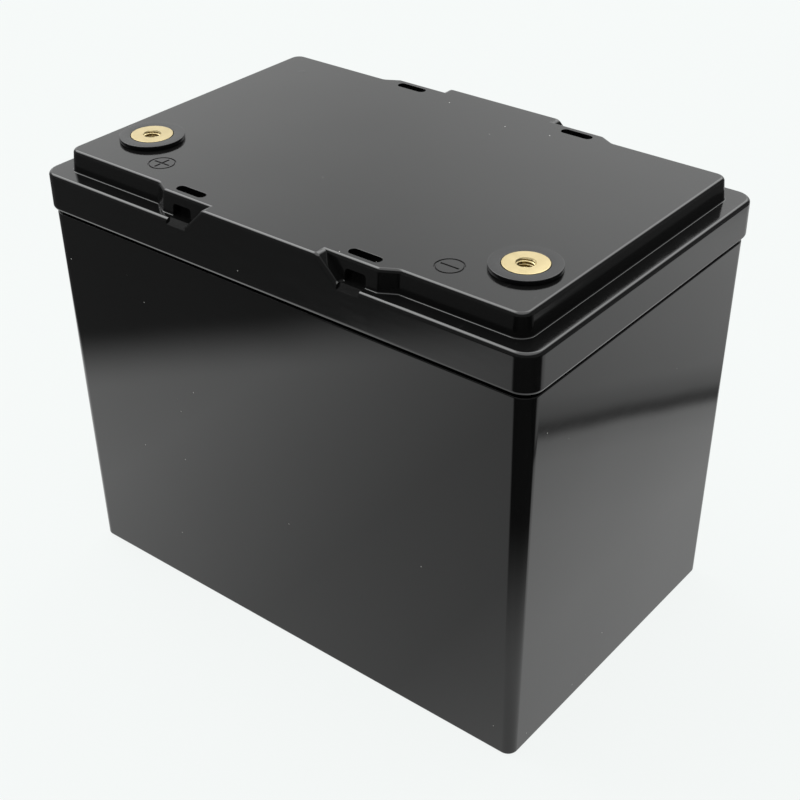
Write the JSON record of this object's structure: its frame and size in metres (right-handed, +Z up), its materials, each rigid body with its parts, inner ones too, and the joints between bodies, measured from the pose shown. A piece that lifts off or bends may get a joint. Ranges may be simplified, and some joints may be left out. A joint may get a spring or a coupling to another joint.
{
  "type": "battery pack",
  "caption": "Boxed rechargeable battery pack with a lift-off lid, threaded brass terminals, strap slots, prismatic cells, busbars and a protection board.",
  "frame": {"origin": "middle of the case's underside", "axes": "+X along the long side towards the negative terminal, +Z up, terminals beside the -Y wall"},
  "size_m": [0.26, 0.168, 0.2125],
  "materials": {
    "case_plastic": "polished black ABS",
    "lid_plastic": "polished black ABS",
    "collar_plastic": "fine satin black nylon",
    "seal_rubber": "matte black rubber",
    "brass": "machined brass",
    "zinc_steel": "zinc-plated steel",
    "tinned_copper": "tin-plated copper",
    "foam": "closed-cell foam",
    "cell_film": "blue insulating film over an aluminium can",
    "cell_aluminium": "satin aluminium",
    "post_plastic": "moulded insulator",
    "insulating_sheet": "glass-fibre epoxy sheet",
    "end_plate_aluminium": "brushed aluminium plate",
    "strap_plastic": "embossed polyester strap",
    "busbar_copper": "bare copper strip",
    "board_green": "green solder mask",
    "chip_black": "moulded chip packages",
    "shunt_metal": "resistance alloy strip",
    "connector_plastic": "white nylon connector",
    "wire_insulation": "coloured wire insulation",
    "bead_epoxy": "epoxy bead",
    "sleeve_plastic": "heat-shrink sleeve",
    "lead_red": "red silicone insulation",
    "lead_black": "black silicone insulation"
  },
  "bodies": {
    "pack": {"case": "case_plastic", "board_spacers": "brass", "busbar_screws": "zinc_steel", "busbar_washers": "zinc_steel", "tray_screws": "zinc_steel", "board_screws": "zinc_steel", "lower_lug_screws": "zinc_steel", "strap_seals": "zinc_steel", "lower_lugs": "tinned_copper", "sense_tags": "tinned_copper", "floor_pad": "foam", "side_pads": "foam", "end_pads": "foam", "cell_1": "cell_film", "cell_2": "cell_film", "cell_3": "cell_film", "cell_4": "cell_film", "cell_5": "cell_film", "cell_6": "cell_film", "cell_7": "cell_film", "cell_8": "cell_film", "cell_posts": "cell_aluminium", "cell_vents": "cell_aluminium", "post_seals": "post_plastic", "cell_sheets": "insulating_sheet", "board_tray": "insulating_sheet", "end_plate_left": "end_plate_aluminium", "end_plate_right": "end_plate_aluminium", "board_heatsink": "end_plate_aluminium", "strap_lower": "strap_plastic", "strap_upper": "strap_plastic", "busbar_pos": "busbar_copper", "busbar_back_left": "busbar_copper", "busbar_front": "busbar_copper", "busbar_back_right": "busbar_copper", "busbar_neg": "busbar_copper", "protection_board": "board_green", "board_transistors": "chip_black", "board_parts": "chip_black", "board_shunts": "shunt_metal", "sense_socket": "connector_plastic", "sense_plug": "connector_plastic", "sense_wires": "wire_insulation", "thermistor": "bead_epoxy", "lug_sleeves": "sleeve_plastic", "lead_pos": "lead_red", "lead_board": "lead_black", "lead_neg": "lead_black"},
    "lid": {"lid": "lid_plastic", "lid_gasket": "seal_rubber", "collar_pos": "collar_plastic", "collar_neg": "collar_plastic", "terminal_pos": "brass", "terminal_neg": "brass", "terminal_o_rings": "seal_rubber", "clamp_washers": "zinc_steel", "clamp_nuts": "brass", "upper_lugs": "tinned_copper", "lug_nuts": "brass"}
  },
  "joints": [
    {"name": "lid_lift", "type": "slide", "parent": "pack", "child": "lid", "axis": [0, 0, 1], "range_m": [0, 0.1], "deforming": ["lead_pos", "lead_neg"]}
  ]
}
